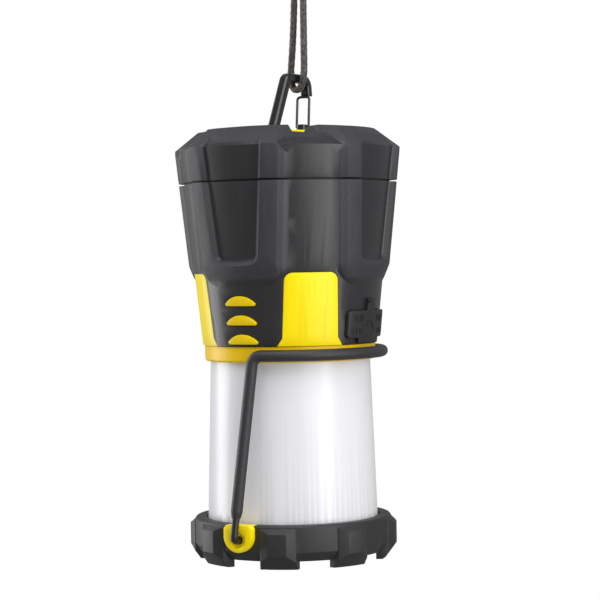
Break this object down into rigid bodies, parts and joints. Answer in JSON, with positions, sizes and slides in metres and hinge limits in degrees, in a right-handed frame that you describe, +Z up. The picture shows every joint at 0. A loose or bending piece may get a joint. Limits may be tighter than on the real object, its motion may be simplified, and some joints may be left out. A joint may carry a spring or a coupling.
{
  "type": "camping lantern",
  "caption": "Hanging camping lantern with milky diffuser, grip housing, wire bail, buttons, port cover, carabiner and cord.",
  "frame": {"origin": "inside top of the cord's hanging eye, where a hook carries the whole lantern", "axes": "+Z up along the lantern, -Y towards the buttons, +X towards the port cover"},
  "size_m": [0.1076, 0.113, 0.3183],
  "materials": {
    "black_moulding": "moulded, fine grain",
    "black_overmould": "grained soft-touch skin",
    "yellow_moulding": "satin moulded yellow",
    "milky_polycarbonate": "milky, lets light through",
    "white_moulding": "satin white",
    "seal_rubber": "matt",
    "aluminium": "extruded",
    "led_package": "phosphor",
    "circuit_board": "solder mask",
    "switch_body": "matt",
    "steel": "plated",
    "cell_sleeve": "shrink sleeve over the cell's can",
    "sleeve_rubber": "grained dipped coating",
    "button_rubber": "satin yellow",
    "port_rubber": "matt",
    "black_anodised": "gloss black anodised",
    "braided_cord": "braided"
  },
  "bodies": {
    "hanger": {"hang_cord": "braided_cord", "hang_knot": "braided_cord", "hang_eye": "braided_cord", "carabiner_frame": "black_anodised"},
    "carabiner_gate": {"wire_gate": "steel"},
    "bail": {"bail_wire": "steel", "bail_sleeve": "sleeve_rubber"},
    "button_top": {"button_top": "button_rubber"},
    "button_middle": {"button_middle": "button_rubber"},
    "button_bottom": {"button_bottom": "button_rubber"},
    "port_cover": {"port_cover": "port_rubber"},
    "lantern": {"anchor_loop": "yellow_moulding", "base_plate": "black_moulding", "base_ring": "black_moulding", "base_screws": "steel", "battery_cells": "cell_sleeve", "battery_clamp": "white_moulding", "battery_tray": "white_moulding", "cell_links": "steel", "charging_socket": "steel", "control_board": "circuit_board", "cover_gasket": "seal_rubber", "cover_screws": "steel", "diffuser": "milky_polycarbonate", "diffuser_collar": "yellow_moulding", "heat_sink": "aluminium", "housing_core": "yellow_moulding", "housing_overmold": "black_overmould", "led_board": "aluminium", "leds": "led_package", "pivot_clip_front": "yellow_moulding", "pivot_clip_rear": "yellow_moulding", "port_board": "circuit_board", "port_cover_anchor": "port_rubber", "reflector": "white_moulding", "tact_switches": "switch_body", "top_cover": "black_moulding", "usb_output_socket": "steel"}
  },
  "joints": [
    {"name": "lantern_swing", "type": "hinge", "parent": "hanger", "child": "lantern", "pos_m": [-0.0006, -0.0146, -0.1032], "axis": [1, 0, 0], "range_deg": [-10, 10]},
    {"name": "gate_hinge", "type": "hinge", "parent": "hanger", "child": "carabiner_gate", "pos_m": [-0.0006, 0.0011, -0.0985], "axis": [1, 0, 0], "range_deg": [0, 22], "stiffness_Nm_per_rad": 0.02, "springref_deg": -11.46},
    {"name": "bail_pivot", "type": "hinge", "parent": "lantern", "child": "bail", "pos_m": [-0.0006, -0.0146, -0.2999], "axis": [0, 1, 0], "range_deg": [0, 180]},
    {"name": "port_cover_hinge", "type": "hinge", "parent": "lantern", "child": "port_cover", "pos_m": [0.04698, -0.0146, -0.1866], "axis": [0, -1, 0], "range_deg": [0, 100]},
    {"name": "button_top_press", "type": "slide", "parent": "lantern", "child": "button_top", "axis": [0, 1, 0], "range_m": [0, 0.001], "stiffness_N_per_m": 400, "springref_m": -0.0005},
    {"name": "button_middle_press", "type": "slide", "parent": "lantern", "child": "button_middle", "axis": [0, 1, 0], "range_m": [0, 0.001], "stiffness_N_per_m": 400, "springref_m": -0.0005},
    {"name": "button_bottom_press", "type": "slide", "parent": "lantern", "child": "button_bottom", "axis": [0, 1, 0], "range_m": [0, 0.001], "stiffness_N_per_m": 400, "springref_m": -0.0005}
  ]
}
